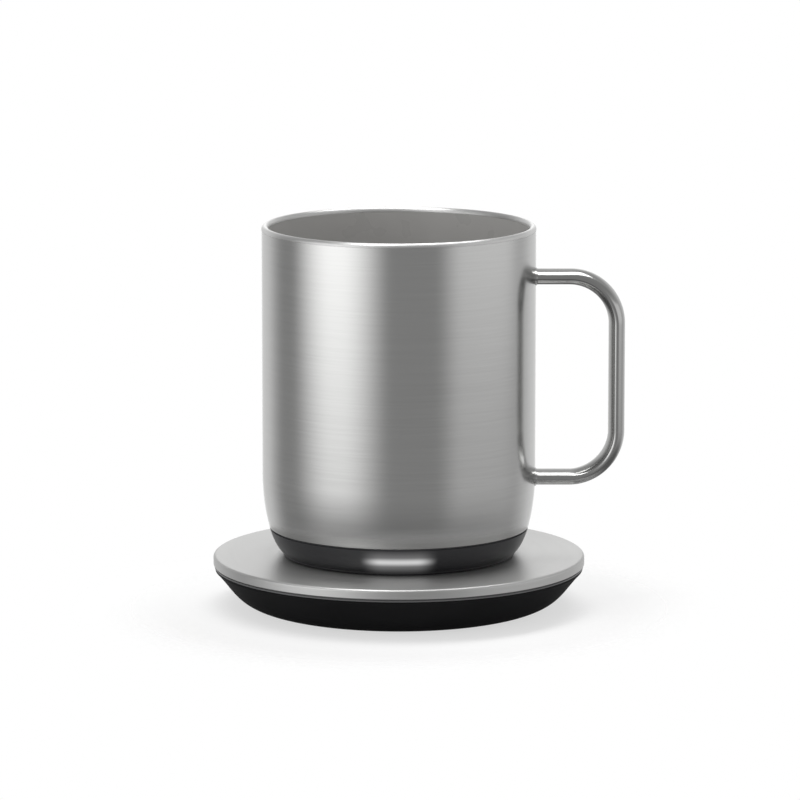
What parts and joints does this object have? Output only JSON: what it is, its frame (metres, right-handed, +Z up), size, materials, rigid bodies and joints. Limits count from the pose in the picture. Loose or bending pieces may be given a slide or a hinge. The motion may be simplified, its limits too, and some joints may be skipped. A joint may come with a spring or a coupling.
{
  "type": "self heating mug",
  "caption": "Straight steel mug with a square loop handle and a dark heated base, standing on a round charging coaster.",
  "frame": {"origin": "on the floor under the middle of the coaster", "axes": "+Z up along the mug's axis, +X towards the handle, -Y towards the light on the base"},
  "size_m": [0.1219, 0.1102, 0.1142],
  "materials": {
    "brushed_steel": "fine brushed",
    "coated_steel": "smooth glossy coating",
    "black_plastic": "fine moulded satin",
    "grey_plastic": "fine moulded satin",
    "black_rubber": "matt silicone",
    "board": "solder mask",
    "brass": "gold plated",
    "spring_steel": "drawn wire",
    "screw_steel": "zinc plated",
    "aluminium": "rolled",
    "heater_film": "polyimide film",
    "foam": "closed cell foam",
    "white_plastic": "moulded",
    "cell_wrap": "laminated foil",
    "light_bar": "diffusing",
    "red_lead": "silicone sleeve",
    "black_lead": "silicone sleeve"
  },
  "bodies": {
    "coaster": {"coaster_top_plate": "brushed_steel", "coaster_carrier": "grey_plastic", "coaster_bowl": "black_plastic", "coaster_foot_pad": "black_rubber", "contact_hub": "black_plastic", "coaster_board": "board", "pin_barrel_inner": "brass", "pin_barrel_outer": "brass", "pin_spring_inner": "spring_steel", "pin_spring_outer": "spring_steel", "power_jack": "black_plastic", "jack_pin": "brass", "supply_lead_left": "red_lead", "supply_lead_right": "black_lead", "coaster_screw_1": "screw_steel", "coaster_screw_2": "screw_steel", "coaster_screw_3": "screw_steel", "coaster_board_screw_1": "screw_steel", "coaster_board_screw_2": "screw_steel"},
    "mug": {"outer_shell": "brushed_steel", "handle": "brushed_steel", "inner_cup": "coated_steel", "heater_plate": "aluminium", "heater_film": "heater_film", "temperature_sensor": "brass", "sensor_lead": "black_lead", "insulation_pad": "foam", "battery_tray": "grey_plastic", "battery_cell_left": "cell_wrap", "battery_cell_right": "cell_wrap", "circuit_board": "board", "control_chip": "black_plastic", "radio_module": "aluminium", "power_transistor": "black_plastic", "inductor": "black_plastic", "heater_connector": "white_plastic", "battery_connector": "white_plastic", "tact_switch": "black_plastic", "status_led": "light_bar", "light_guide": "light_bar", "heater_lead_left": "red_lead", "heater_lead_right": "black_lead", "battery_lead_left": "red_lead", "battery_lead_right": "black_lead", "base_skirt": "black_plastic", "base_gasket": "black_rubber", "base_cover": "black_plastic", "contact_ring_inner": "brass", "contact_ring_outer": "brass", "button_seal": "black_rubber", "foot_ring": "black_rubber", "base_screw_1": "screw_steel", "base_screw_2": "screw_steel", "base_screw_3": "screw_steel", "board_screw_1": "screw_steel", "board_screw_2": "screw_steel"},
    "power_button": {"power_button": "grey_plastic"},
    "contact_pin_inner": {"contact_pin_inner": "brass"},
    "contact_pin_outer": {"contact_pin_outer": "brass"}
  },
  "joints": [
    {"name": "mug_lift", "type": "slide", "parent": "coaster", "child": "mug", "axis": [0, 0, 1], "range_m": [0, 0.12]},
    {"name": "power_button_press", "type": "slide", "parent": "mug", "child": "power_button", "axis": [0, 0, 1], "range_m": [0, 0.0005], "stiffness_N_per_m": 600, "springref_m": -0.0005},
    {"name": "contact_pin_inner_press", "type": "slide", "parent": "coaster", "child": "contact_pin_inner", "axis": [0, 0, -1], "range_m": [0, 0.0008], "stiffness_N_per_m": 400, "springref_m": -0.0006, "deforming": ["pin_spring_inner"]},
    {"name": "contact_pin_outer_press", "type": "slide", "parent": "coaster", "child": "contact_pin_outer", "axis": [0, 0, -1], "range_m": [0, 0.0008], "stiffness_N_per_m": 400, "springref_m": -0.0006, "deforming": ["pin_spring_outer"]}
  ]
}
